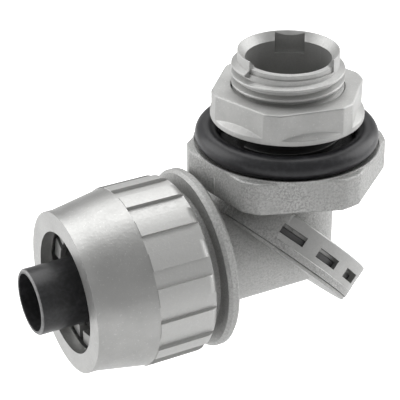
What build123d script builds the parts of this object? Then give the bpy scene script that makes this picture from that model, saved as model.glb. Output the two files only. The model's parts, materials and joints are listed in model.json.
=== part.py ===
from build123d import *
from math import atan, cos, degrees, radians, sin, tan
import os

# Right-angle liquidtight conduit connector with a swivel at the mitre. Millimetres, +Z along the hub.
# The origin is on the hub's axis, on the face of the hexagon that seats against the enclosure wall.

# Bend
seat_height = 20.3          # from the crossing of the two axes up to the seat face
mitre_angle = 45.0          # the swivel axis makes this angle with both tubes
swivel_rest = 14.2          # how far the swivel stands turned from a true right angle

# Hub: the threaded stub that goes through the knockout
hub_bore_r = 8.1
hub_thread_r = 10.65
hub_thread_top = 16.1
hub_thread_lead = 0.9       # the thread runs out into the plain rim over this height
hub_rim_r = 9.55
hub_length = 18.5
hub_mouth_flare = 1.25      # width of the flare round the mouth of the bore
hub_mouth_depth = 1.5
rim_step = 1.5              # the front of the rim is cast lower by this
rim_step_r = 9.2
rim_step_from = 191.5       # azimuths between which the rim is low
rim_step_to = 300.0
key_width = 5.7             # shallow key slot in the mouth of the bore, opposite the low rim
key_reach = 8.75
key_depth = 4.0
key_azimuth = 58.0
hub_tube_r = 9.4
hub_lower_bore_r = 8.4      # the core from below is a little wider than the one from above

# Hexagonal flange under the seat
flange_flat = 34.8
flange_corner_r = 19.05
flange_height = 7.0
flange_lower_edge = 0.9
flange_upper_edge = 0.4
seat_land_r = 18.3
seat_land_rise = 0.35

# Flange sealing ring and its groove
o_ring_r = 15.3
o_ring_wire_r = 2.2
o_ring_groove_depth = 0.65
o_ring_groove_play = 0.1

# Locknut
locknut_base = 5.5         # height of its washer face above the seat
locknut_height = 6.05
locknut_flat = 26.7
locknut_r = 14.6
locknut_rim = 1.05
locknut_cone_rise = 1.1
locknut_cone_r = 13.0
locknut_azimuth = -100.6     # direction that one of its flats faces
locknut_edge = 0.35
locknut_thread_play = 0.08

# Swivel disc, measured along the swivel axis from the crossing of the axes
disc_r = 17.2
disc_top = 2.7
disc_bottom = -4.1
disc_edge = 0.3
cup_r = 15.2
cup_floor = 1.2
port_r = 9.8
hub_port_depth = 1.0
swivel_side_play = 0.3
swivel_face_play = 0.1
lip_r = 17.0
lip_thickness = 0.6
branch_port_depth = 3.2

# Windows in the rim of the disc, on both sides of it
window_count = 4
window_pitch = 28.2
window_width = 5.2
window_height = 1.95
window_centre = -0.5

# Spring ring that locks the two halves together, and the face seal between them
ring_centre = -0.8
ring_thickness = 1.0
ring_inner_r = 13.6
ring_outer_r = 15.9
ring_groove_r = 13.3
ring_groove_play = 0.15
ring_split = 8.0
face_seal_r = 11.6
face_seal_wire_r = 0.9
face_seal_side_play = 0.1
face_seal_gap = 0.05

# Branch tube, collar and threaded neck, measured along the branch from the crossing of the axes
branch_tube_r = 10.4
branch_bore_r = 8.6
collar_start = 19.15
collar_thickness = 2.25
collar_r = 17.5
collar_edge = 0.6
neck_thread_r = 14.4
neck_relief_r = 13.7
neck_relief_length = 2.4
neck_end = 34.0
neck_socket_r = 11.9
neck_socket_floor = 27.0

# Compression nut
nut_start = 23.35
grip_end = 35.4
rib_r = 17.4
recess_r = 16.72
rib_count = 16
rib_phase = 8.0             # centre of the first rib, from straight up towards -Y
cone_start_r = 17.2
cone_end = 45.1
cone_end_r = 15.5
nut_front = 46.9
nut_front_round = 2.0
mouth_r = 11.7
mouth_land = 2.3
mouth_round = 0.8
nut_thread_play = 0.1
nut_thread_end = 35.3
nut_cone_rear_r = 13.9
nut_cone_front_r = 12.2

# Slit clamping ring with claws, carried in the nut's cone
clamp_rear = 35.8
clamp_base_length = 2.2
clamp_front = 43.9
clamp_rear_r = 13.2
clamp_front_r = 11.8
clamp_inner_r = 9.6
claw_r = 9.2
claw_length = 1.2
finger_count = 12
finger_gap = 1.6
finger_phase = 3.0

# Conduit seal in the neck
seal_inner_r = 9.2
seal_outer_r = 11.6
seal_rear = 28.45
seal_front = 33.4

# Ferrule, the plastic sleeve that goes inside the conduit
ferrule_r = 6.31
ferrule_bore_r = 5.5
ferrule_tip = 53.8
ferrule_tip_edge = 0.3
ferrule_flange_r = 11.6
ferrule_flange = 1.4
ferrule_gap = 0.02

os.makedirs("parts", exist_ok=True)

# The bend's centre, and the directions of the swivel and of the branch
bend = Vector(0, 0, -seat_height)
tilt = radians(mitre_angle)
twist = atan(tan(radians(swivel_rest / 2)) / cos(tilt))
hub_twist = degrees(twist)
swivel_dir = Vector(sin(tilt) * cos(twist), sin(tilt) * sin(twist), cos(tilt))
branch_square = Vector(-cos(twist), -sin(twist), 0)
branch_dir = branch_square.rotate(Axis((0, 0, 0), swivel_dir), -swivel_rest)
swivel_side = Vector(0, 0, 1).cross(swivel_dir).normalized()
swivel_out = swivel_side.cross(swivel_dir).normalized()
branch_side = branch_dir.cross(Vector(0, 0, 1)).normalized()

swivel_axis = Axis(bend, swivel_dir)
branch_axis = Axis(bend, branch_dir)
swivel_plane = Plane(origin=bend, x_dir=swivel_out, z_dir=swivel_dir)
swivel_section = Plane(origin=bend, x_dir=swivel_dir, z_dir=swivel_side)
branch_plane = Plane(origin=bend, x_dir=branch_side, z_dir=branch_dir)
branch_section = Plane(origin=bend, x_dir=branch_dir, z_dir=branch_side)

# Hexagon with its seat land
with BuildPart() as flange:
    with BuildSketch(Plane.XY.offset(-flange_height)):
        RegularPolygon(flange_flat / 2, 6, major_radius=False, rotation=30)
        Circle(flange_corner_r, mode=Mode.INTERSECT)
    extrude(amount=flange_height - seat_land_rise)
    fillet(flange.faces().sort_by(Axis.Z)[0].edges(), flange_lower_edge)
    fillet(flange.faces().sort_by(Axis.Z)[-1].edges(), flange_upper_edge)
    with BuildSketch(Plane.XY.offset(-seat_land_rise - flange_upper_edge)):
        Circle(seat_land_r - flange_upper_edge)
    extrude(amount=seat_land_rise + flange_upper_edge)

# Outside of the hub's tube, down to the disc
with BuildPart() as hub_tube:
    with BuildSketch(Plane.XY.offset(-flange_height / 2)):
        Circle(hub_tube_r)
    extrude(amount=-(seat_height + 2 * hub_tube_r))
    split(bisect_by=swivel_plane.offset(cup_floor + hub_port_depth), keep=Keep.TOP)

# Lower passage of the hub, cut off square to the swivel above the port
with BuildPart() as hub_passage:
    with BuildSketch(Plane.XY.offset(-flange_height)):
        Circle(hub_lower_bore_r)
    extrude(amount=-(seat_height + 2 * hub_lower_bore_r))
    split(bisect_by=swivel_plane.offset(cup_floor + hub_port_depth), keep=Keep.TOP)

# Hub casting: stub, hexagon, tube and the cup of the swivel in one piece
with BuildPart() as hub_casting:
    with BuildSketch(swivel_plane.offset(disc_bottom)):
        Circle(disc_r)
    extrude(amount=disc_top - disc_bottom)
    fillet(hub_casting.faces().sort_by(swivel_axis)[-1].edges(), disc_edge)
    add(hub_tube.part)
    add(flange.part, rotation=(0, 0, hub_twist))
    with BuildSketch(Plane.XZ):
        with BuildLine():
            Polyline(
                (0, -seat_land_rise),
                (hub_thread_r, -seat_land_rise),
                (hub_thread_r, hub_thread_top),
                (hub_rim_r, hub_thread_top + hub_thread_lead),
                (hub_rim_r, hub_length),
                (0, hub_length),
                (0, -seat_land_rise),
            )
        make_face()
    revolve(axis=Axis.Z)
    # groove for the flange sealing ring
    with BuildSketch(Plane.XY):
        Circle(o_ring_r + o_ring_wire_r + o_ring_groove_play)
        Circle(o_ring_r - o_ring_wire_r - o_ring_groove_play, mode=Mode.SUBTRACT)
    extrude(amount=-o_ring_groove_depth, mode=Mode.SUBTRACT)
    # cup that the other half turns in, and the port through its floor
    with BuildSketch(swivel_plane.offset(disc_bottom)):
        Circle(cup_r)
    extrude(amount=cup_floor - disc_bottom, mode=Mode.SUBTRACT)
    with BuildSketch(swivel_plane.offset(cup_floor)):
        Circle(port_r)
    extrude(amount=hub_port_depth, mode=Mode.SUBTRACT)
    add(hub_passage.part, mode=Mode.SUBTRACT)
    with BuildSketch(Plane.XY.offset(hub_length)):
        Circle(hub_bore_r)
    extrude(amount=-(hub_length + flange_height), mode=Mode.SUBTRACT)
    # flared mouth of the bore, its key slot, and the low front of the rim
    with BuildSketch(Plane.XZ):
        with BuildLine():
            Polyline(
                (0, hub_length - hub_mouth_depth),
                (hub_bore_r, hub_length - hub_mouth_depth),
                (hub_bore_r + hub_mouth_flare, hub_length),
                (0, hub_length),
                (0, hub_length - hub_mouth_depth),
            )
        make_face()
    revolve(axis=Axis.Z, mode=Mode.SUBTRACT)
    with BuildSketch(Plane.XY.offset(hub_length)):
        with PolarLocations(key_reach / 2, 1, start_angle=key_azimuth):
            Rectangle(key_reach, key_width)
    extrude(amount=-key_depth, mode=Mode.SUBTRACT)
    low_middle = (rim_step_from + rim_step_to) / 2
    low_corners = [(2 * hub_thread_r * cos(radians(a)), 2 * hub_thread_r * sin(radians(a)))
                   for a in (rim_step_from, low_middle, rim_step_to)]
    with BuildSketch(Plane.XY.offset(hub_length)):
        Polygon((0, 0), *low_corners, align=None)
    extrude(amount=-rim_step, mode=Mode.SUBTRACT)
    with BuildSketch(Plane.XY.offset(hub_length)):
        Polygon((0, 0), *low_corners, align=None)
        Circle(rim_step_r, mode=Mode.SUBTRACT)
    extrude(amount=-(hub_length - hub_thread_top), mode=Mode.SUBTRACT)
    # groove for the spring ring
    with BuildSketch(swivel_plane.offset(ring_centre - ring_thickness / 2 - ring_groove_play)):
        Circle(ring_outer_r + ring_groove_play)
    extrude(amount=ring_thickness + 2 * ring_groove_play, mode=Mode.SUBTRACT)
    # windows through the rim
    for side in (90, 270):
        first = side - window_pitch * (window_count - 1) / 2
        for index in range(window_count):
            angle = radians(first + index * window_pitch)
            outward = swivel_out * cos(angle) + swivel_side * sin(angle)
            face_centre = bend + swivel_dir * window_centre + outward * disc_r
            with BuildSketch(Plane(origin=face_centre, x_dir=swivel_dir, z_dir=outward)):
                Rectangle(window_height, window_width)
            extrude(amount=cup_r - disc_r, both=True, mode=Mode.SUBTRACT)

hub_casting.part.label = "hub_casting"
export_step(hub_casting.part, "parts/hub_casting.step")

# Outside of the branch tube, up to the disc
with BuildPart() as branch_tube:
    with BuildSketch(branch_plane.offset(collar_start)):
        Circle(branch_tube_r)
    extrude(amount=-(collar_start + 2 * branch_tube_r))
    split(bisect_by=swivel_plane.offset(disc_bottom - swivel_face_play), keep=Keep.BOTTOM)

# Passage of the branch, cut off square to the swivel under the port
with BuildPart() as branch_passage:
    with BuildSketch(branch_plane.offset(neck_end)):
        Circle(branch_bore_r)
    extrude(amount=-(neck_end + 2 * branch_bore_r))
    split(bisect_by=swivel_plane.offset(cup_floor - branch_port_depth), keep=Keep.BOTTOM)

# Branch casting: plug of the swivel, tube, collar and threaded neck in one piece
plug_r = cup_r - swivel_side_play
plug_top = cup_floor - swivel_face_play
lip_top = disc_bottom - swivel_face_play
seal_groove_side = face_seal_wire_r + face_seal_side_play
seal_centre = cup_floor - face_seal_gap - face_seal_wire_r
with BuildPart() as branch_casting:
    with BuildSketch(swivel_plane.offset(lip_top - lip_thickness)):
        Circle(lip_r)
    extrude(amount=lip_thickness)
    with BuildSketch(swivel_plane.offset(lip_top - lip_thickness)):
        Circle(plug_r)
    extrude(amount=plug_top - lip_top + lip_thickness)
    add(branch_tube.part)
    with BuildSketch(branch_section):
        with BuildLine():
            Polyline(
                (collar_start, 0),
                (collar_start, collar_r - collar_edge),
                (collar_start + collar_edge, collar_r),
                (collar_start + collar_thickness - collar_edge, collar_r),
                (collar_start + collar_thickness, collar_r - collar_edge),
                (collar_start + collar_thickness, neck_relief_r),
                (collar_start + collar_thickness + neck_relief_length, neck_relief_r),
                (collar_start + collar_thickness + neck_relief_length + neck_thread_r - neck_relief_r,
                 neck_thread_r),
                (neck_end - collar_edge, neck_thread_r),
                (neck_end, neck_thread_r - collar_edge),
                (neck_end, 0),
                (collar_start, 0),
            )
        make_face()
    revolve(axis=branch_axis)
    # socket for the ferrule's flange and the conduit seal
    with BuildSketch(branch_plane.offset(neck_socket_floor)):
        Circle(neck_socket_r)
    extrude(amount=neck_end - neck_socket_floor, mode=Mode.SUBTRACT)
    add(branch_passage.part, mode=Mode.SUBTRACT)
    with BuildSketch(swivel_plane.offset(cup_floor - branch_port_depth)):
        Circle(port_r)
    extrude(amount=branch_port_depth, mode=Mode.SUBTRACT)
    # grooves for the spring ring and for the face seal
    with BuildSketch(swivel_plane.offset(ring_centre - ring_thickness / 2 - ring_groove_play)):
        Circle(cup_r)
        Circle(ring_groove_r, mode=Mode.SUBTRACT)
    extrude(amount=ring_thickness + 2 * ring_groove_play, mode=Mode.SUBTRACT)
    with BuildSketch(swivel_plane.offset(plug_top)):
        Circle(face_seal_r + seal_groove_side)
        Circle(face_seal_r - seal_groove_side, mode=Mode.SUBTRACT)
    extrude(amount=seal_centre - face_seal_wire_r - face_seal_gap - plug_top, mode=Mode.SUBTRACT)

branch_casting.part.label = "branch_casting"
export_step(branch_casting.part, "parts/branch_casting.step")

# Spring ring, split so that it can be closed for assembly
with BuildPart() as swivel_snap_ring:
    with BuildSketch(swivel_plane.offset(ring_centre - ring_thickness / 2)):
        Circle(ring_outer_r)
        Circle(ring_inner_r, mode=Mode.SUBTRACT)
        with Locations((ring_outer_r, 0)):
            Rectangle(2 * ring_outer_r - ring_inner_r, ring_split, mode=Mode.SUBTRACT)
    extrude(amount=ring_thickness)

swivel_snap_ring.part.label = "swivel_snap_ring"
export_step(swivel_snap_ring.part, "parts/swivel_snap_ring.step")

# Face seal of the swivel
with BuildPart() as swivel_seal:
    with BuildSketch(swivel_section):
        with Locations((seal_centre, face_seal_r)):
            Circle(face_seal_wire_r)
    revolve(axis=swivel_axis)

swivel_seal.part.label = "swivel_seal"
export_step(swivel_seal.part, "parts/swivel_seal.step")

# Flange sealing ring, lying in its groove
with BuildPart() as flange_o_ring:
    with BuildSketch(Plane.XZ):
        with Locations((o_ring_r, o_ring_wire_r - o_ring_groove_depth)):
            Circle(o_ring_wire_r)
    revolve(axis=Axis.Z)

flange_o_ring.part.label = "flange_o_ring"
export_step(flange_o_ring.part, "parts/flange_o_ring.step")

# Locknut: six flats cut on a round collar, the washer rim left whole below them
locknut_top = locknut_base + locknut_height
with BuildPart() as hub_locknut:
    with BuildSketch(Plane.XY.offset(locknut_base)):
        RegularPolygon(locknut_flat / 2, 6, major_radius=False, rotation=locknut_azimuth - 30)
        Circle(locknut_r, mode=Mode.INTERSECT)
    extrude(amount=locknut_height)
    chamfer(hub_locknut.faces().sort_by(Axis.Z)[-1].edges(), locknut_edge)
    with BuildSketch(Plane.XZ):
        with BuildLine():
            Polyline(
                (0, locknut_base),
                (locknut_r, locknut_base),
                (locknut_r, locknut_base + locknut_rim),
                (locknut_cone_r, locknut_base + locknut_rim + locknut_cone_rise),
                (0, locknut_base + locknut_rim + locknut_cone_rise),
                (0, locknut_base),
            )
        make_face()
    revolve(axis=Axis.Z)
    with BuildSketch(Plane.XY.offset(locknut_base)):
        Circle(hub_thread_r + locknut_thread_play)
    extrude(amount=locknut_height, mode=Mode.SUBTRACT)

hub_locknut.part.label = "hub_locknut"
export_step(hub_locknut.part, "parts/hub_locknut.step")

# Compression nut: cone and mouth turned, ribs left standing between the recesses of the grip
nut_bore_r = neck_thread_r + nut_thread_play
with BuildPart() as compression_nut:
    with BuildSketch(branch_section) as nut_profile:
        with BuildLine():
            Polyline(
                (nut_start, nut_bore_r),
                (nut_start, rib_r),
                (grip_end, rib_r),
                (grip_end, cone_start_r),
                (cone_end, cone_end_r),
                (nut_front, cone_end_r),
                (nut_front, mouth_r),
                (nut_front - mouth_land, mouth_r),
                (nut_front - mouth_land, nut_cone_front_r),
                (nut_thread_end + nut_bore_r - nut_cone_rear_r, nut_cone_rear_r),
                (nut_thread_end, nut_bore_r),
                (nut_start, nut_bore_r),
            )
        make_face()
        front_corners = nut_profile.vertices().group_by(branch_axis)[-1]
        fillet(front_corners.sort_by_distance(bend)[-1], nut_front_round)
        fillet(nut_profile.vertices().group_by(branch_axis)[-1].sort_by_distance(bend)[0], mouth_round)
    revolve(axis=branch_axis)
    with BuildSketch(branch_plane.offset(nut_start)):
        Circle(rib_r + collar_edge)
        Circle(recess_r, mode=Mode.SUBTRACT)
        half_rib = radians(360 / rib_count / 4)
        wedge = 2 * rib_r
        with PolarLocations(0, rib_count, start_angle=270 - rib_phase):
            Polygon(
                (0, 0),
                (wedge * cos(half_rib), -wedge * sin(half_rib)),
                (wedge * cos(half_rib), wedge * sin(half_rib)),
                align=None,
                mode=Mode.SUBTRACT,
            )
    extrude(amount=grip_end - nut_start, mode=Mode.SUBTRACT)

compression_nut.part.label = "compression_nut"
export_step(compression_nut.part, "parts/compression_nut.step")

# Clamping ring: a solid base and claws between slits, following the nut's cone
with BuildPart() as clamp_ring:
    with BuildSketch(branch_section):
        with BuildLine():
            Polyline(
                (clamp_rear, clamp_inner_r),
                (clamp_rear, clamp_rear_r),
                (clamp_front, clamp_front_r),
                (clamp_front, claw_r),
                (clamp_front - claw_length, claw_r),
                (clamp_front - claw_length - clamp_inner_r + claw_r, clamp_inner_r),
                (clamp_rear, clamp_inner_r),
            )
        make_face()
    revolve(axis=branch_axis)
    with BuildSketch(branch_plane.offset(clamp_rear + clamp_base_length)):
        with PolarLocations(0, finger_count, start_angle=270 - finger_phase):
            Polygon(
                (0, -finger_gap / 2),
                (clamp_rear_r + finger_gap, -finger_gap / 2),
                (clamp_rear_r + finger_gap, finger_gap / 2),
                (0, finger_gap / 2),
                align=None,
            )
    extrude(amount=clamp_front - clamp_rear, mode=Mode.SUBTRACT)

clamp_ring.part.label = "clamp_ring"
export_step(clamp_ring.part, "parts/clamp_ring.step")

# Conduit seal
with BuildPart() as conduit_seal:
    with BuildSketch(branch_plane.offset(seal_rear)):
        Circle(seal_outer_r)
        Circle(seal_inner_r, mode=Mode.SUBTRACT)
    extrude(amount=seal_front - seal_rear)

conduit_seal.part.label = "conduit_seal"
export_step(conduit_seal.part, "parts/conduit_seal.step")

# Ferrule: its flange sits on the floor of the neck's socket
ferrule_rear = neck_socket_floor + ferrule_gap
with BuildPart() as ferrule:
    with BuildSketch(branch_plane.offset(ferrule_rear)):
        Circle(ferrule_flange_r)
    extrude(amount=ferrule_flange)
    with BuildSketch(branch_plane.offset(ferrule_rear)):
        Circle(ferrule_r)
    extrude(amount=ferrule_tip - ferrule_rear)
    chamfer(ferrule.faces().sort_by(branch_axis)[-1].edges(), ferrule_tip_edge)
    with BuildSketch(branch_plane.offset(ferrule_rear)):
        Circle(ferrule_bore_r)
    extrude(amount=ferrule_tip - ferrule_rear, mode=Mode.SUBTRACT)

ferrule.part.label = "ferrule"
export_step(ferrule.part, "parts/ferrule.step")
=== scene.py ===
import bpy
import json
from math import cos, pi, radians, sin
from mathutils import Matrix, Vector


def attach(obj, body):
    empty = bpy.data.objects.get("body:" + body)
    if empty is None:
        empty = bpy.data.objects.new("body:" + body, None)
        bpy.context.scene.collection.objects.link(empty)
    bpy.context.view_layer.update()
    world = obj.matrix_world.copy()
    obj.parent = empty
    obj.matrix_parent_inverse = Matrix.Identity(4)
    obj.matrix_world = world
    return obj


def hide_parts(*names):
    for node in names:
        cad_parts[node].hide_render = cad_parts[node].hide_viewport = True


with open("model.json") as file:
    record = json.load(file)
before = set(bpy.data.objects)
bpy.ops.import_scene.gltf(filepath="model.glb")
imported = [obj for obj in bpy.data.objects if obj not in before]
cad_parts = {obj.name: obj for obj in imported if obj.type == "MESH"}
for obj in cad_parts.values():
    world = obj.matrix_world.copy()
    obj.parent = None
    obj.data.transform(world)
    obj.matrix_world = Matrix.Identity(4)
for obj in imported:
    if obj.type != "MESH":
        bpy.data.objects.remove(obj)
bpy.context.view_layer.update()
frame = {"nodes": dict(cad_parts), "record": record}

nodes = frame["nodes"]
mm = 0.001

# Lengths below are in millimetres and angles in degrees, in the part's own frame: the hub's axis is Z,
# and heights are counted from the seat.

# The stub's thread: 14 to the inch, right hand, with a blunt upper end
crest_r = 10.65
root_r = 9.55
pitch = 1.814
crest_flat = 0.45
crest_round = 0.12
ridge_foot = 1.66
ridge_rooting = 0.2          # how far the ridge reaches into the stub
ridge_turns = 8
ridge_steps = 72             # to the turn
ridge_end_height = 16.02
ridge_end_azimuth = 191.5
lead_top = 17.0              # upper end of the plain outside that is turned down
turned_skin = 0.01           # metal left over the root
cutter_clear = 0.8           # the turning cut reaches this far outside the crest
cutter_foot = 0.05
cutter_rise = 0.2
key_azimuth = 58             # the key slot in the mouth of the bore

# The locknut: six flats over a round washer rim with a sloping shoulder
locknut_base = 5.5
locknut_top = 11.55
locknut_r = 14.6
locknut_flat = 26.7          # across flats
locknut_sides = 6
locknut_azimuth = -100.6
locknut_chamfer = 0.3
hexagon_lift = 0.3           # the hexagon begins this far up, inside the rim
washer_rim = 1.05
washer_cone = 1.1
washer_cone_r = 13.0
locknut_bore_r = 10.73
bore_clear = 1               # the bore's cutter stands out this far at both ends

# Modelling
merge_gap = 0.002            # points of a copy that are one point
seam_gap = 0.001             # points of a turned ring that are one point
pick_gap = 0.01
flat_within = 1              # two triangles this flat become one four-sided face
any_shape = 180
smooth_angle = 30
worn_edge_angle = 32
locknut_edge_angle = 25
locknut_edge = 0.14
edge_segments = 2
drum_corners = 144
ring_steps = 180
area_weight = 60

# Directions and the bend's centre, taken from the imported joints
joints = {joint["name"]: joint for joint in frame["record"]["behaviour"]["joints"]}
bend = Vector(joints["elbow_swivel"]["pos_m"])
swivel_dir = Vector(joints["elbow_swivel"]["axis"])
branch_dir = Vector(joints["nut_turn"]["axis"])
hub_dir = Vector((0, 0, 1))
side_dir = hub_dir.cross(swivel_dir).normalized()
key_dir = Vector((cos(radians(key_azimuth)), sin(radians(key_azimuth)), 0))

# Where the finishes change: each pair is where a change begins and where it is complete.
# Heights on the hub, and distances from its axis
stub_from = (0.1, 0.4)
# the seat inside the sealing ring, under the locknut, which is darkened with painted shade
seat_shade_from = (-1.0, -0.8)
seat_shade_to = (5.3, 5.7)
seat_shade_from_r = (8.6, 9.0)
seat_shade_to_r = (13.0, 13.6)
# the key slot in the bore, which is darkened a little with painted shade
slot_from = (13.9, 14.1)
slot_to = (15.5, 17.2)
slot_from_r = (8.12, 8.2)
slot_to_r = (9.25, 9.35)
slot_from_reach = (7.4, 7.5)     # along the slot's own direction
under_flange = (-9.0, -8.4)
# Distances from the hub's plane of symmetry
flash_half_width = (0.07, 0.16)
windows_beside = (11.0, 11.3)
# Distances from the bend's centre, along the swivel's axis and along the branch
disc_from = (-2.8, -2.65)
ribs_to = (35.3, 35.5)
# where the painted highlight on the ferrule's tip begins
tip_highlight_from = (53.5, 53.65)
# Distance from the branch's axis
tip_highlight_from_r = (5.8, 6.0)

# Between these lie nearly all of a noise's values, and the better half of them
wide = (0.3, 0.7)
narrow = (0.35, 0.65)

# How much of each mark shows
polish = 0.85
# how strongly painted shade darkens the seat and the key slot
seat_shade_cover = 0.85
slot_shade_cover = 0.22
# how strongly the painted highlight along the flash ridge shows
flash_highlight_cover = 0.6
flash_height = 0.8
speck_cover = 0.28
# how much painted shade darkens the nut's cone
painted_cone_shade_cover = 0.14
rib_dulling = 0.12
# how strongly the painted highlight lightens the ferrule's tip, and the mouth of its bore
tip_highlight_cover = 0.9
bore_highlight_cover = 0.12
gloss_glow = 0.14            # how much of the floor's glow the metal mirrors

# Colours
cast_dark = (0.47, 0.47, 0.462, 1)
cast_light = (0.54, 0.54, 0.531, 1)
cast_pit = (0.27, 0.27, 0.265, 1)
plate_dark = (0.47, 0.47, 0.462, 1)
plate_light = (0.53, 0.53, 0.52, 1)
# painted shade for the nut's cone, then a painted highlight for its ribs
painted_cone_shade = (0.30, 0.30, 0.295, 1)
rib_painted_highlight = (0.58, 0.58, 0.57, 1)
# bright metal for the plating's specks, and a painted highlight along the hub's flash ridge
bright_metal_and_highlight = (0.75, 0.75, 0.74, 1)
# painted shade, for the seat under the locknut and the key slot
painted_shade = (0.05, 0.05, 0.05, 1)
rubber_dark = (0.013, 0.013, 0.015, 1)
rubber_bloom = (0.028, 0.028, 0.032, 1)
plastic_dark = (0.026, 0.026, 0.027, 1)
plastic_light = (0.044, 0.044, 0.047, 1)
# painted highlight for the ferrule's tip
tip_painted_highlight = (0.34, 0.34, 0.34, 1)
steel_dark = (0.10, 0.10, 0.10, 1)
steel_light = (0.18, 0.18, 0.18, 1)
paper = (0.90, 0.90, 0.90, 1)
paper_glow = (0.60, 0.60, 0.60, 1)
black = (0, 0, 0, 1)
dim_sky = (0.40, 0.40, 0.40, 1)
white = (1, 1, 1, 1)


# ---------------------------------------------------------------- materials
class Wire:
    """One output of a finish's nodes, with arithmetic."""

    def __init__(self, finish, socket):
        self.finish = finish
        self.socket = socket

    def math(self, operation, *values):
        return self.finish.node("ShaderNodeMath", {"operation": operation}, values)

    def __add__(self, other):
        return self.math("ADD", self, other)

    __radd__ = __add__

    def __mul__(self, other):
        return self.math("MULTIPLY", self, other)

    __rmul__ = __mul__

    def __sub__(self, other):
        return self.math("SUBTRACT", self, other)

    def __rsub__(self, other):
        return self.math("SUBTRACT", other, self)

    def __abs__(self):
        return self.math("ABSOLUTE", self)


class Finish:
    """A material, or the world, being written: nodes are added by type, settings and inputs."""

    def __init__(self, name, world=None):
        self.owner = world or bpy.data.materials.new(name)
        self.owner.use_nodes = True
        self.tree = self.owner.node_tree
        self.shader = self.tree.nodes["Background" if world else "Principled BSDF"]

    def feed(self, socket, value):
        if isinstance(value, Wire):
            self.tree.links.new(value.socket, socket)
        else:
            socket.default_value = value

    def node(self, kind, settings=None, inputs=(), output=0):
        made = self.tree.nodes.new(kind)
        for key, value in (settings or {}).items():
            setattr(made, key, value)
        pairs = inputs.items() if isinstance(inputs, dict) else enumerate(inputs)
        for key, value in pairs:
            self.feed(made.inputs[key], value)
        return Wire(self, made.outputs[output])

    def noise(self, scale, detail, roughness):
        place = self.node("ShaderNodeTexCoord", output="Object")
        return self.node("ShaderNodeTexNoise", {"noise_dimensions": "3D"},
                         {"Vector": place, "Scale": scale, "Detail": detail, "Roughness": roughness})

    def spread(self, value, low, high, to_low, to_high):
        """Lays low to high over to_low to to_high, and holds the ends beyond."""
        return self.node("ShaderNodeMapRange", {"clamp": True},
                         {"Value": value, "From Min": low, "From Max": high,
                          "To Min": to_low, "To Max": to_high})

    def above(self, value, low, high):
        return self.spread(value, low, high, 0.0, 1.0)

    def below(self, value, low, high):
        return self.spread(value, low, high, 1.0, 0.0)

    def mix(self, factor, first, second):
        return self.node("ShaderNodeMix", {"data_type": "RGBA"}, {0: factor, 6: first, 7: second}, output=2)

    def offset(self, start):
        """The way from a point to the place that is shaded."""
        place = self.node("ShaderNodeTexCoord", output="Object")
        return self.node("ShaderNodeVectorMath", {"operation": "SUBTRACT"}, [place, start])

    def along(self, direction, start=Vector((0, 0, 0))):
        """Distance in millimetres from a point, measured in a direction."""
        return self.node("ShaderNodeVectorMath", {"operation": "DOT_PRODUCT"},
                         [self.offset(start), direction / mm], output="Value")

    def away_from(self, direction, start=Vector((0, 0, 0))):
        """Distance in millimetres from the line through a point."""
        across = self.node("ShaderNodeVectorMath", {"operation": "CROSS_PRODUCT"},
                           [self.offset(start), direction / mm])
        return self.node("ShaderNodeVectorMath", {"operation": "LENGTH"}, [across], output="Value")

    def bump(self, height, depth, strength):
        """Raises the surface by the height, of which 1 stands for the depth in millimetres."""
        return self.node("ShaderNodeBump", {}, {"Height": height, "Distance": depth * mm, "Strength": strength})

    def surface(self, **values):
        for name, value in values.items():
            self.feed(self.shader.inputs[name.replace("_", " ")], value)
        return self.owner


def smooth_on_hub(f):
    """The turned stub, and the rim of the disc round its windows."""
    height = f.along(hub_dir)
    stub = f.above(height, *stub_from)
    disc = f.above(f.along(swivel_dir, bend), *disc_from) * f.below(height, *under_flange)
    windows = f.above(abs(f.along(side_dir, bend)), *windows_beside)
    return (stub + windows * disc) * polish


def painted_shade_on_hub(f, colour):
    """Painted shade on the seat inside the sealing ring, under the locknut, and a lighter painted shade in the
    key slot.
    """
    height = f.along(hub_dir)
    radius = f.away_from(hub_dir)
    seat_shade = f.above(height, *seat_shade_from) * f.below(height, *seat_shade_to)
    seat_shade = seat_shade * f.above(radius, *seat_shade_from_r) * f.below(radius, *seat_shade_to_r)
    slot = f.above(height, *slot_from) * f.below(height, *slot_to)
    slot = slot * f.above(radius, *slot_from_r) * f.below(radius, *slot_to_r)
    slot = slot * f.above(f.along(key_dir), *slot_from_reach)
    colour = f.mix(seat_shade * seat_shade_cover, colour, painted_shade)
    return f.mix(slot * slot_shade_cover, colour, painted_shade)


def flash_line(f):
    """The fine broken ridge that the mould's halves leave in the hub's plane of symmetry."""
    breaks = f.noise(scale=1100, detail=1.0, roughness=0.5)
    return f.below(abs(f.along(side_dir)), *flash_half_width) * f.spread(breaks, 0.4, 0.55, 0.1, 1.0)


def cast_finish(name, grit, on_hub=False):
    """Die casting as it leaves the mould: nickel grey and sandy, smoother where the mould is polished."""
    f = Finish(name)
    grain = f.noise(scale=2700, detail=4.0, roughness=0.75)
    lumps = f.noise(scale=900, detail=2.0, roughness=0.5)
    tone = f.noise(scale=140, detail=3.0, roughness=0.55)
    sandy = 1 - smooth_on_hub(f) if on_hub else 1
    pits = f.spread(grain, 0.44, 0.58, 0.0, grit) * f.spread(tone, 0.35, 0.6, 0.45, 1.0) * sandy
    colour = f.mix(pits, f.mix(f.above(tone, *narrow), cast_dark, cast_light), cast_pit)
    height = (grain * 0.6 + lumps * 0.4) * sandy
    if on_hub:
        # the flash ridge is raised by the bump and painted brighter: a painted highlight along a real ridge
        flash = flash_line(f) * sandy
        # the hub's seat and key slot are darkened with painted shade
        colour = f.mix(flash * flash_highlight_cover, painted_shade_on_hub(f, colour), bright_metal_and_highlight)
        height = height + flash * flash_height
    return f.surface(Base_Color=colour, Metallic=0.85, Roughness=f.spread(grain, *wide, 0.42, 0.56),
                     Normal=f.bump(height, depth=0.24, strength=1.0))


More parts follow.
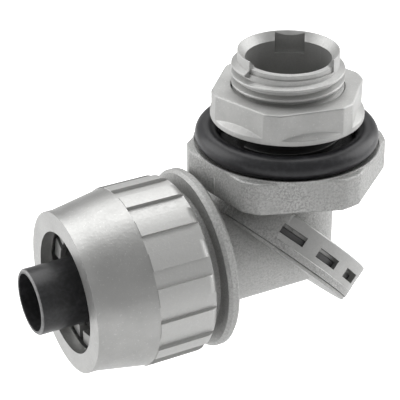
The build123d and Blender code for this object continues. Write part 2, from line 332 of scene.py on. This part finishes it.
def satin_finish(name, dullness, grip=False):
    """Plated and tumbled: smooth, with a soft gloss, faint handling marks and fine bright specks."""
    f = Finish(name)
    tone = f.noise(scale=190, detail=3.0, roughness=0.5)
    fine = f.noise(scale=1900, detail=2.0, roughness=0.5)
    speck = f.spread(f.noise(scale=2700, detail=1.0, roughness=0.4), 0.66, 0.72, 0.0, speck_cover)
    colour = f.mix(f.above(tone, *narrow), plate_dark, plate_light)
    if grip:
        # the ribs are painted lighter, a painted highlight, and the cone in front of them is painted a little
        # darker, a painted shade; the ribs are also duller
        ribs = f.below(f.along(branch_dir, bend), *ribs_to)
        colour = f.mix(ribs, f.mix(painted_cone_shade_cover, colour, painted_cone_shade), rib_painted_highlight)
        dullness = ribs * rib_dulling + dullness
    return f.surface(Base_Color=f.mix(speck, colour, bright_metal_and_highlight), Metallic=0.9,
                     Roughness=f.spread(fine, *wide, -0.055, 0.055) + dullness,
                     Normal=f.bump(fine + speck, depth=0.05, strength=0.4))


def rubber_finish():
    """Moulded seal: black, with a faint bloom."""
    f = Finish("sealing_rubber")
    dust = f.noise(scale=900, detail=3.0, roughness=0.6)
    return f.surface(Base_Color=f.mix(f.above(dust, 0.45, 0.75), rubber_dark, rubber_bloom),
                     Roughness=f.spread(dust, *wide, 0.30, 0.42),
                     Normal=f.bump(dust, depth=0.03, strength=0.3))


def plastic_finish():
    """Black moulded plastic, painted pale round its tip as a painted highlight."""
    f = Finish("ferrule_plastic")
    fine = f.noise(scale=1400, detail=2.0, roughness=0.5)
    # a painted highlight round the tip, weaker inside the bore
    tip_highlight = f.spread(f.along(branch_dir, bend), *tip_highlight_from, 0.0, tip_highlight_cover)
    tip_highlight = tip_highlight * f.spread(f.away_from(branch_dir, bend), *tip_highlight_from_r, bore_highlight_cover, 1.0)
    tip_highlight = tip_highlight * f.spread(fine, 0.3, 0.6, 0.6, 1.0)
    colour = f.mix(f.above(fine, 0.4, 0.7), plastic_dark, plastic_light)
    return f.surface(Base_Color=f.mix(tip_highlight, colour, tip_painted_highlight),
                     Roughness=f.spread(fine, *wide, 0.28, 0.40),
                     Normal=f.bump(fine, depth=0.03, strength=0.25))


def spring_finish():
    """Oiled spring steel."""
    f = Finish("spring_steel")
    fine = f.noise(scale=1200, detail=2.0, roughness=0.5)
    return f.surface(Base_Color=f.mix(fine, steel_dark, steel_light), Metallic=0.7,
                     Roughness=f.spread(fine, *wide, 0.35, 0.5))


hub_metal = cast_finish("hub_casting_metal", grit=0.72, on_hub=True)
branch_metal = cast_finish("branch_casting_metal", grit=0.5)
plating = satin_finish("satin_plating", dullness=0.52)
nut_plating = satin_finish("nut_plating", dullness=0.395, grip=True)
rubber = rubber_finish()
plastic = plastic_finish()
spring = spring_finish()


# ---------------------------------------------------------------- modelling helpers
def object_mode():
    bpy.ops.object.mode_set(mode="OBJECT")


def nothing_selected():
    if bpy.context.object and bpy.context.object.mode != "OBJECT":
        object_mode()
    bpy.ops.object.select_all(action="DESELECT")


def only(piece):
    nothing_selected()
    piece.select_set(True)
    bpy.context.view_layer.objects.active = piece


def edit_all(piece):
    """Goes into edit mode with the whole piece selected."""
    only(piece)
    bpy.ops.object.mode_set(mode="EDIT")
    bpy.ops.mesh.select_all(action="SELECT")


def pick_points(piece, test):
    """Goes into edit mode with the vertices selected that pass the test, which is in millimetres."""
    only(piece)
    bpy.ops.object.mode_set(mode="EDIT")
    bpy.ops.mesh.select_mode(type="VERT")
    bpy.ops.mesh.select_all(action="DESELECT")
    object_mode()
    for point in piece.data.vertices:
        point.select = test(point.co / mm)
    bpy.ops.object.mode_set(mode="EDIT")


def keep_place():
    """Puts the place, turn and size of the selected object into its mesh."""
    bpy.ops.object.transform_apply(location=True, rotation=True, scale=True)


def apply(piece, kind, name, **settings):
    only(piece)
    modifier = piece.modifiers.new(name, kind)
    for key, value in settings.items():
        setattr(modifier, key, value)
    bpy.ops.object.modifier_apply(modifier=name)


def wear_edges(piece, width, angle):
    apply(piece, "BEVEL", "worn_edges", width=width * mm, segments=edge_segments, limit_method="ANGLE",
          angle_limit=radians(angle), harden_normals=False)


def combine(piece, other, operation):
    apply(piece, "BOOLEAN", "combined", operation=operation, solver="EXACT", object=other)
    bpy.data.objects.remove(other)


def settle(piece, name, body, material):
    """Names a finished piece, smooths it, and gives it its finish and its body."""
    only(piece)
    keep_place()
    bpy.ops.object.shade_smooth_by_angle(angle=radians(smooth_angle))
    piece.name = name
    piece.data.name = name
    piece.data.materials.clear()
    piece.data.materials.append(material)
    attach(piece, body)
    apply(piece, "WEIGHTED_NORMAL", "even_shading", mode="FACE_AREA", keep_sharp=True, weight=area_weight)


def copy_of_node(node, name, body, material, edge=0.0, change=None):
    """A merged copy of a part's node with worn edges, so that its round faces can be shaded smooth."""
    piece = bpy.data.objects.new(name, nodes[node].data.copy())
    bpy.context.collection.objects.link(piece)
    only(piece)
    bpy.ops.mesh.customdata_custom_splitnormals_clear()
    edit_all(piece)
    bpy.ops.mesh.remove_doubles(threshold=merge_gap * mm)
    object_mode()
    if change:
        change(piece)
    edit_all(piece)
    bpy.ops.mesh.tris_convert_to_quads(face_threshold=radians(flat_within), shape_threshold=radians(any_shape))
    object_mode()
    if edge:
        wear_edges(piece, edge, worn_edge_angle)
    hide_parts(node)
    settle(piece, name, body, material)


def drum(radius, low, high):
    """A solid drum about the hub's axis, to be shaped further."""
    nothing_selected()
    bpy.ops.mesh.primitive_cylinder_add(vertices=drum_corners, radius=radius * mm, depth=(high - low) * mm,
                                        location=(0, 0, (low + high) / 2 * mm))
    keep_place()
    return bpy.context.object


def upright_plate(inner, outer, low, high):
    """A flat plate standing on the XZ plane, from which a ring is turned."""
    nothing_selected()
    bpy.ops.mesh.primitive_plane_add(size=1.0, rotation=(radians(90), 0, 0))
    plate = bpy.context.object
    keep_place()
    bpy.ops.object.mode_set(mode="EDIT")
    bpy.ops.transform.resize(value=((outer - inner) * mm, 1, (high - low) * mm))
    bpy.ops.transform.translate(value=((inner + outer) / 2 * mm, 0, (low + high) / 2 * mm))
    object_mode()
    return plate


def turned(plate, turns=1.0, lift=0.0, steps=ring_steps):
    """Turns a plate about the hub's axis into a ring, or screws it up, and closes it."""
    apply(plate, "SCREW", "turned", axis="Z", angle=2 * pi * turns, screw_offset=lift * mm, steps=steps,
          render_steps=steps, iterations=1, use_merge_vertices=lift == 0, merge_threshold=seam_gap * mm)
    only(plate)
    bpy.ops.object.mode_set(mode="EDIT")
    bpy.ops.mesh.select_mode(type="EDGE")
    bpy.ops.mesh.select_all(action="SELECT")
    bpy.ops.mesh.remove_doubles(threshold=seam_gap * mm)
    bpy.ops.mesh.fill_holes(sides=0)
    bpy.ops.mesh.select_all(action="SELECT")
    bpy.ops.mesh.normals_make_consistent(inside=False)
    object_mode()
    return plate


# ---------------------------------------------------------------- the pieces
def screwed_ridge():
    """The thread: a ridge screwed up the stub, with both ends closed."""
    ridge = upright_plate(root_r - ridge_rooting, crest_r, -ridge_foot / 2, ridge_foot / 2)
    pick_points(ridge, lambda p: p.x > root_r)
    bpy.ops.transform.resize(value=(1, 1, crest_flat / ridge_foot), center_override=(crest_r * mm, 0, 0))
    bpy.ops.mesh.bevel(offset=crest_round * mm, segments=edge_segments, affect="VERTICES")
    object_mode()
    ridge.rotation_euler.z = radians(ridge_end_azimuth)
    ridge.location.z = (ridge_end_height - ridge_turns * pitch) * mm
    keep_place()
    return turned(ridge, ridge_turns, ridge_turns * pitch, ridge_steps * ridge_turns)


def cut_thread(hub):
    """Turns the stub's plain outside down to the thread's root and puts the ridge on it."""
    waste = upright_plate(root_r + turned_skin, crest_r + cutter_clear, cutter_foot, lead_top + cutter_rise)
    combine(hub, turned(waste), "DIFFERENCE")
    ridge = screwed_ridge()
    only(hub)
    ridge.select_set(True)
    bpy.ops.object.join()


def locknut():
    """Six flats above a round washer rim with a sloping shoulder, bored through."""
    nut = drum(locknut_r, locknut_base + hexagon_lift, locknut_top)
    bpy.ops.object.mode_set(mode="EDIT")
    for side in range(locknut_sides):
        facing = radians(locknut_azimuth + 360 / locknut_sides * side)
        out = Vector((cos(facing), sin(facing), 0))
        bpy.ops.mesh.select_all(action="SELECT")
        bpy.ops.mesh.bisect(plane_co=out * locknut_flat / 2 * mm, plane_no=out, use_fill=True, clear_outer=True)
    pick_points(nut, lambda p: p.z > locknut_top - pick_gap)
    bpy.ops.mesh.bevel(offset=locknut_chamfer * mm, segments=edge_segments, affect="EDGES")
    object_mode()

    rim_top = locknut_base + washer_rim
    narrowing = washer_cone_r / locknut_r
    rim = drum(locknut_r, locknut_base, rim_top)
    pick_points(rim, lambda p: p.z > rim_top - pick_gap)
    bpy.ops.mesh.select_mode(type="FACE")
    bpy.ops.mesh.extrude_region_move(TRANSFORM_OT_translate={"value": (0, 0, washer_cone * mm)})
    bpy.ops.transform.resize(value=(narrowing, narrowing, 1), center_override=(0, 0, 0))
    object_mode()

    combine(nut, rim, "UNION")
    combine(nut, drum(locknut_bore_r, locknut_base - bore_clear, locknut_top + bore_clear), "DIFFERENCE")
    wear_edges(nut, locknut_edge, locknut_edge_angle)
    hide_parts("hub_locknut")
    settle(nut, "locknut", "locknut", plating)


copy_of_node("branch_casting", "branch_elbow_half", "branch", branch_metal, edge=0.12)
copy_of_node("hub_casting", "hub_elbow_half", "hub", hub_metal, edge=0.1, change=cut_thread)
locknut()
copy_of_node("compression_nut", "compression_nut_body", "nut", nut_plating, edge=0.08)
copy_of_node("clamp_ring", "claw_ring", "clamp", plating, edge=0.05)
copy_of_node("flange_o_ring", "flange_ring", "hub", rubber)
copy_of_node("ferrule", "conduit_ferrule", "branch", plastic)

# the three pieces inside stay the part's own nodes, with a finish
for node, finish in (("swivel_snap_ring", spring), ("swivel_seal", rubber), ("conduit_seal", rubber)):
    hidden = nodes[node]
    hidden.data.materials.clear()
    hidden.data.materials.append(finish)

# ---------------------------------------------------------------- floor, light and camera
# the floor lies under the branch's lowest reach, when the swivel has turned it straight down
branch_reach = 58
floor_size = 6.0             # in metres
nothing_selected()
bpy.ops.mesh.primitive_plane_add(size=floor_size, location=(0, 0, bend.z - branch_reach * mm))
floor = bpy.context.object
floor.name = "floor"
sheet = Finish("paper_floor")
in_view = sheet.node("ShaderNodeLightPath", output="Is Camera Ray")
in_gloss = sheet.node("ShaderNodeLightPath", output="Is Glossy Ray")
glow = sheet.mix(in_view + in_gloss * gloss_glow, black, paper_glow)
floor.data.materials.append(sheet.surface(Base_Color=paper, Roughness=0.7, Emission_Strength=1.0,
                                          Emission_Color=glow))

# the world looks white behind the part, and lights it less
world = bpy.data.worlds.new("studio")
bpy.context.scene.world = world
sky = Finish("studio", world)
in_view = sky.node("ShaderNodeLightPath", output="Is Camera Ray")
sky.surface(Color=sky.mix(in_view, dim_sky, white), Strength=1.0)


part_middle = Vector((-0.018, 0, -0.012))


def softbox(name, place, size, power):
    """A square soft light, in metres and watts, aimed at the middle of the part."""
    lamp = bpy.data.lights.new(name, "AREA")
    lamp.shape = "RECTANGLE"
    lamp.size = lamp.size_y = size
    lamp.energy = power
    holder = bpy.data.objects.new(name, lamp)
    holder.location = place
    holder.rotation_euler = (part_middle - Vector(place)).to_track_quat("-Z", "Y").to_euler()
    bpy.context.collection.objects.link(holder)


softbox("softbox_above", (0.12, 0.26, 0.55), size=0.60, power=2.3)
softbox("softbox_right", (0.46, -0.06, 0.17), size=0.45, power=1.5)
softbox("softbox_left", (-0.38, 0.30, 0.20), size=0.50, power=1.6)

# the camera's place in metres and its directions, fitted to the photo
camera_place = Vector((-0.13220, -0.22107, 0.12540))
camera_right = Vector((0.88850537, -0.45885028, -0.00382538))
camera_up = Vector((0.22073498, 0.42008693, 0.88022897))
camera_forward = Vector((0.40228632, 0.78293256, -0.4745338))
camera_data = bpy.data.cameras.new("camera")
camera_data.sensor_width = 36.0
camera_data.lens = 134.5
camera_data.clip_start = 0.01
camera_data.clip_end = 20
camera = bpy.data.objects.new("camera", camera_data)
bpy.context.collection.objects.link(camera)
look = Matrix((camera_right, camera_up, -camera_forward)).transposed().to_4x4()
look.translation = camera_place
camera.matrix_world = look
bpy.context.scene.camera = camera
bpy.context.scene.view_settings.view_transform = "Standard"
